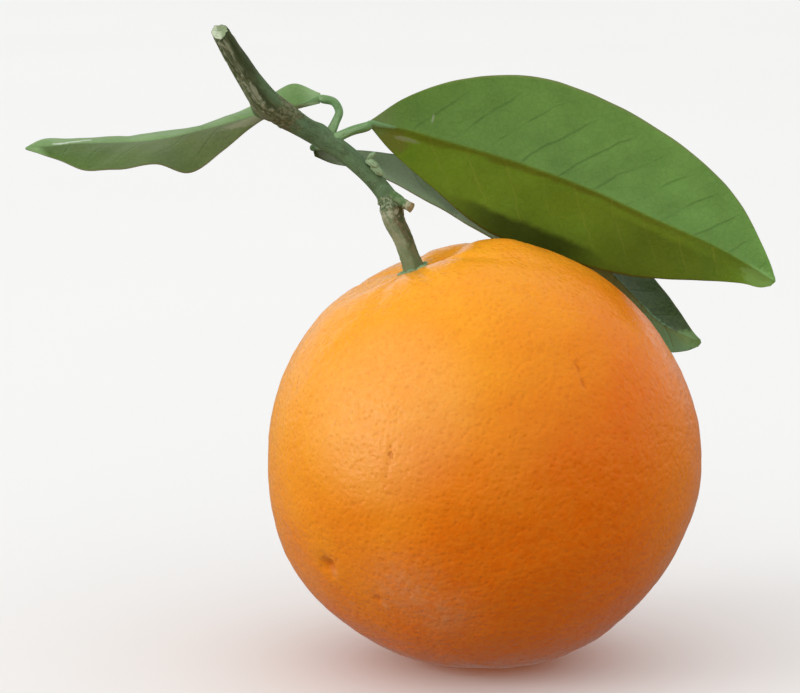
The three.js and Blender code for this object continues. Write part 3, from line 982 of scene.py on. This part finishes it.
def stalk_material():
    """Pale and grey-green towards the left, mottled brown towards the right, greener at the foot."""
    paint, grain = bark_paint("stalk_bark", 0.75)
    right, _, along = paint.parts(grain)
    mottle = paint.streaks(grain, 0.6, 0.8, 4)
    streaks = paint.streaks(grain, 0.3, 0.9)
    pale = paint.fade(streaks, 0.38, 0.64, srgb(138, 144, 112), srgb(112, 128, 94))
    brown = paint.fade(mottle, 0.42, 0.58, srgb(70, 80, 46), srgb(104, 98, 68))
    edge = paint.plus(right, paint.around_zero(mottle, 3.2))
    colour = paint.fade(edge, -0.3, 0.8, pale, brown)
    green_foot = paint.step(along, 6.5, 10.5, 0.0, 0.6)
    colour = paint.mix(green_foot, colour, srgb(98, 118, 78))
    crust = paint.step(paint.cloud(grain, 1.1, 3), 0.48, 0.56)
    near_top = paint.step(along, 1.6, 3.6, 0.7, 0.0)
    colour = paint.over(colour, crust, near_top, srgb(172, 174, 146))
    dark = paint.step(paint.streaks(grain, 0.5, 0.4), 0.6, 0.68, 0.0, 0.35)
    colour = paint.mix(dark, colour, srgb(78, 82, 52))
    return paint.finish(Base_Color=colour, Normal=paint.bump(mottle, 0.14))


def calyx_material():
    paint = Paint("calyx_green", Roughness=0.6)
    place = paint.millimetres()
    colour = paint.fade(paint.cloud(place, 0.9, 4), 0.35, 0.65, srgb(92, 138, 92), srgb(126, 158, 112))
    rim = paint.step(paint.attribute("rimward"), 0.85, 1.0, 0.0, 0.5)
    colour = paint.mix(rim, colour, srgb(150, 160, 120))
    return paint.finish(Base_Color=colour, Normal=paint.bump(paint.cloud(place, 0.4, 3), 0.08))


def stage_material():
    paint = Paint("pale_floor", Roughness=0.9, Specular_IOR_Level=0.1)
    mottle = paint.cloud(paint.millimetres(), 300)
    return paint.finish(Base_Color=paint.mix(mottle, srgb(236, 236, 235), srgb(240, 240, 239)))


# ---- camera, light and floor

CAMERA_TILT = math.radians(10)
CAMERA_DISTANCE = 600.0  # from the fruit's centre, along the view
CAMERA_ASIDE = -15.0
CAMERA_RAISED = 19.8
CAMERA_LENS = 148.5
CAMERA_SENSOR = 36.0
HORIZON_BLUR = 0.1  # half the height over which the world goes from its ground to its sky


def add_camera():
    ahead = Vector((0, math.cos(CAMERA_TILT), -math.sin(CAMERA_TILT)))
    up = Vector((0, math.sin(CAMERA_TILT), math.cos(CAMERA_TILT)))
    centre = Vector((CAMERA_ASIDE, 0, CENTRE_HEIGHT))
    camera = add_object("camera", bpy.data.cameras.new("camera"))
    camera.data.lens = CAMERA_LENS
    camera.data.sensor_width = CAMERA_SENSOR
    camera.data.clip_start = 0.01
    camera.location = (centre - ahead * CAMERA_DISTANCE + up * CAMERA_RAISED) * MM
    camera.rotation_euler = (math.pi / 2 - CAMERA_TILT, 0, 0)
    bpy.context.scene.camera = camera


def add_window(towards, distance, size, power):
    """A tall soft light, like a window, that the rind's sheen shows."""
    light = bpy.data.lights.new("window", "AREA")
    light.shape = "RECTANGLE"
    light.size, light.size_y = size
    light.energy = power
    window = add_object("window", light)
    way = Vector(towards).normalized()
    window.location = way * distance + Vector((0, 0, CENTRE_HEIGHT * MM))
    window.rotation_euler = way.to_track_quat("Z", "Y").to_euler()
    window.visible_camera = False


def add_world(sky, ground):
    """Soft light that is brighter above the horizon than below it."""
    world = bpy.data.worlds.new("studio")
    world.use_nodes = True
    tree = world.node_tree
    height = tree.nodes.new("ShaderNodeSeparateXYZ")
    tree.links.new(tree.nodes.new("ShaderNodeTexCoord").outputs["Generated"], height.inputs[0])
    level = tree.nodes.new("ShaderNodeMapRange")
    levels = {"From Min": -HORIZON_BLUR, "From Max": HORIZON_BLUR, "To Min": ground, "To Max": sky}
    for name, value in levels.items():
        level.inputs[name].default_value = value
    tree.links.new(height.outputs["Z"], level.inputs["Value"])
    tree.links.new(level.outputs[0], tree.nodes["Background"].inputs["Strength"])
    tree.nodes["Background"].inputs["Color"].default_value = (1, 1, 1, 1)
    bpy.context.scene.world = world


def add_floor(radius):
    disc = bmesh.new()
    bmesh.ops.create_circle(disc, cap_ends=True, segments=96, radius=radius)
    mesh = bpy.data.meshes.new("floor")
    disc.to_mesh(mesh)
    disc.free()
    mesh.materials.append(stage_material())
    floor = add_object("floor", mesh)
    floor.visible_diffuse = False  # so that the pale floor doesn't light the fruit's underside
    floor.visible_glossy = False


# ---- the whole scene


def joined_to_blade(route, ribs):
    """A leaf stalk's route, carried on as a tapering midrib inside the base of its blade."""
    base, further = np.array(ribs[0][1]), np.array(ribs[1][1])
    onward = [(*(base + share * (further - base)), radius) for share, radius in MIDRIB_TAPER]
    return (*route, *onward)


def build_stage():
    add_camera()
    add_world(sky=1.0, ground=0.285)
    add_window((-0.93, -0.33, 0.16), distance=4.2, size=(1.96, 3.36), power=90)
    add_floor(radius=4.0)
    bpy.context.scene.view_settings.view_transform = "Standard"


def build_stems():
    cut = (CUT_POINT, CUT_NORMAL)
    make_stem("twig", "twig_bark", twig_material(), (TWIG_ROUTE,), twig_relief, cut)
    make_stem("fruit_stalk", "stalk_bark", stalk_material(), (STALK_ROUTE,), stalk_relief)
    make_stem("side_spur", "spur_bark", spur_material(), (SPUR_ROUTE,), spur_relief)
    scale = bark_material("bud_scale", srgb(130, 156, 112), srgb(154, 178, 136), srgb(92, 100, 64), 0.6)
    make_stem("axillary_bud", "bud_scale", scale, BUD_SCALE_ROUTES, bud_relief)
    green = bark_material("leaf_stalk", srgb(106, 144, 88), srgb(136, 170, 116), srgb(84, 114, 62), 0.36)
    petioles = (
        ("large_leaf_petiole", LARGE_PETIOLE_ROUTE, LARGE_LEAF_RIBS),
        ("left_leaf_petiole", LEFT_PETIOLE_ROUTE, LEFT_LEAF_RIBS),
        ("back_leaf_petiole", BACK_PETIOLE_ROUTE, BACK_LEAF_RIBS),
    )
    for node, route, ribs in petioles:
        make_stem(node, "leaf_stalk", green, (joined_to_blade(route, ribs),), smooth_relief)


def build_leaves():
    dark_vein, pale_vein = srgb(58, 88, 32), srgb(156, 178, 72)
    # glint is the colour of painted highlights.
    old_scar, glint = srgb(164, 172, 140), srgb(244, 252, 236)
    # The large leaf: its far half is painted lighter where it faces the light, and its near half's
    # yellow-green is partly painted light showing through it.
    large = leaf_material(
        "large_leaf_blade",
        far_half=(srgb(100, 134, 50), srgb(124, 174, 88)),
        near_half=(srgb(128, 168, 46), srgb(124, 162, 52)),
        inner_side=srgb(66, 98, 40), base=srgb(120, 132, 82), glow=srgb(184, 216, 24), roughness=0.6,
        vein_tints=(dark_vein, pale_vein), vein_strength=0.4, shade=0.9, crease_shade=0.5,
        marks=((5, -3, 3.4, 2.6, srgb(124, 112, 62)), (7, -1.9, 2.6, 0.6, old_scar),
               (10.8, 3.8, 0.25, 1.1, old_scar), (78, -1.6, 4.6, 2.6, srgb(150, 196, 116))))
    make_blade("large_leaf", large, LARGE_LEAF_RIBS, underside_up=True)
    # The left leaf: its far half is painted lighter for the sheen it shows edge-on, its base is painted
    # light, and the glint marks are painted highlights.
    left = leaf_material(
        "left_leaf_blade",
        far_half=(srgb(122, 162, 92), srgb(152, 192, 122)),
        near_half=(srgb(112, 112, 72), srgb(82, 120, 34)),
        inner_side=srgb(112, 142, 76), base=srgb(166, 200, 142), glow=srgb(120, 160, 30), roughness=0.45,
        vein_tints=(dark_vein, dark_vein), vein_strength=0.12,
        marks=((48, 0.6, 1.6, 0.5, glint), (45.4, 1.1, 1.9, 0.6, glint), (43.2, 1.8, 1.2, 0.5, glint),
               (13.5, -2.3, 5.5, 1.3, srgb(150, 148, 114))))
    make_blade("left_leaf", left, LEFT_LEAF_RIBS, underside_up=False)
    # The back leaf: its far half is painted dark as the shade of the large leaf, its near half is painted
    # sheen, its base and first mark are painted shade, and its three pale marks are painted light.
    back = leaf_material(
        "back_leaf_blade",
        far_half=(srgb(70, 92, 46), srgb(60, 86, 38)),
        near_half=(srgb(128, 152, 112), srgb(156, 182, 124)),
        inner_side=srgb(112, 150, 100), base=srgb(84, 88, 40), glow=srgb(90, 120, 30), roughness=0.42,
        vein_tints=(dark_vein, dark_vein), vein_strength=0.15,
        marks=((3, -2, 5, 3, srgb(84, 88, 40)), (37, -11, 7, 2.6, srgb(190, 212, 170)),
               (79, -2.6, 10, 3, srgb(126, 196, 150)), (87, 0.2, 4.5, 3, srgb(140, 184, 108))))
    make_blade("back_leaf", back, BACK_LEAF_RIBS, underside_up=False)


build_stage()
make_fruit(rind_material())
make_calyx(calyx_material())
build_stems()
build_leaves()
